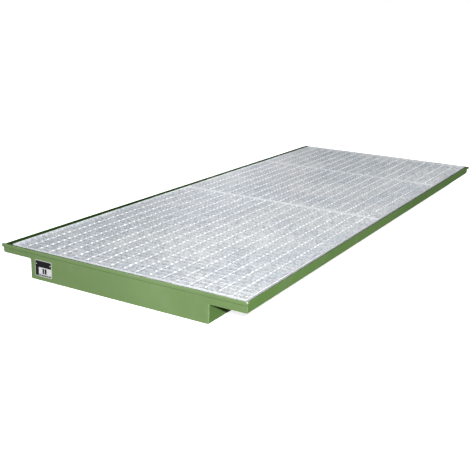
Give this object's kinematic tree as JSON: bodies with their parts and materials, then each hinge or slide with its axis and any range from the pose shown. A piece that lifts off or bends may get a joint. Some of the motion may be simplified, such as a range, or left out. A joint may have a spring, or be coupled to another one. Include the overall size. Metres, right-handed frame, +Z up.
{
  "type": "spill containment pallet",
  "caption": "Low welded steel spill containment pallet for a rack bay: shallow sump tray with side flanges that lie on rack beams and loose galvanised gratings on top.",
  "frame": {"origin": "middle of the footprint, on the plane of the sump's underside", "axes": "+X across the short side, from the shallow flange edge to the deep one; +Y along the long side, away from the end that carries the rating plate; +Z up"},
  "size_m": [1.322, 3.283, 0.135],
  "materials": {
    "tray_paint": "semi-gloss powder coat, reseda green",
    "galvanised": "hot-dip galvanised, light spangle",
    "plate_print": "dark print on a thin metal plate with plain light fields",
    "rivet": "bare blind rivet heads"
  },
  "bodies": {
    "tray": {"sump_floor": "tray_paint", "left_wall_flange": "tray_paint", "right_wall_flange": "tray_paint", "front_end_plate": "tray_paint", "rear_end_plate": "tray_paint", "left_rim": "tray_paint", "right_rim": "tray_paint", "front_rim": "tray_paint", "rear_rim": "tray_paint", "front_support_angle": "tray_paint", "rear_support_angle": "tray_paint", "cross_tie_1": "tray_paint", "cross_tie_2": "tray_paint", "rating_plate": "plate_print", "rating_plate_rivet_left": "rivet", "rating_plate_rivet_right": "rivet"},
    "grating_1": {"grating_1_bearing_bars": "galvanised", "grating_1_cross_rods": "galvanised"},
    "grating_2": {"grating_2_bearing_bars": "galvanised", "grating_2_cross_rods": "galvanised"},
    "grating_3": {"grating_3_bearing_bars": "galvanised", "grating_3_cross_rods": "galvanised"}
  },
  "joints": [
    {"name": "grating_1_lift", "type": "slide", "parent": "tray", "child": "grating_1", "axis": [0, 0, 1], "range_m": [0, 0.3]},
    {"name": "grating_2_lift", "type": "slide", "parent": "tray", "child": "grating_2", "axis": [0, 0, 1], "range_m": [0, 0.3]},
    {"name": "grating_3_lift", "type": "slide", "parent": "tray", "child": "grating_3", "axis": [0, 0, 1], "range_m": [0, 0.3]}
  ]
}
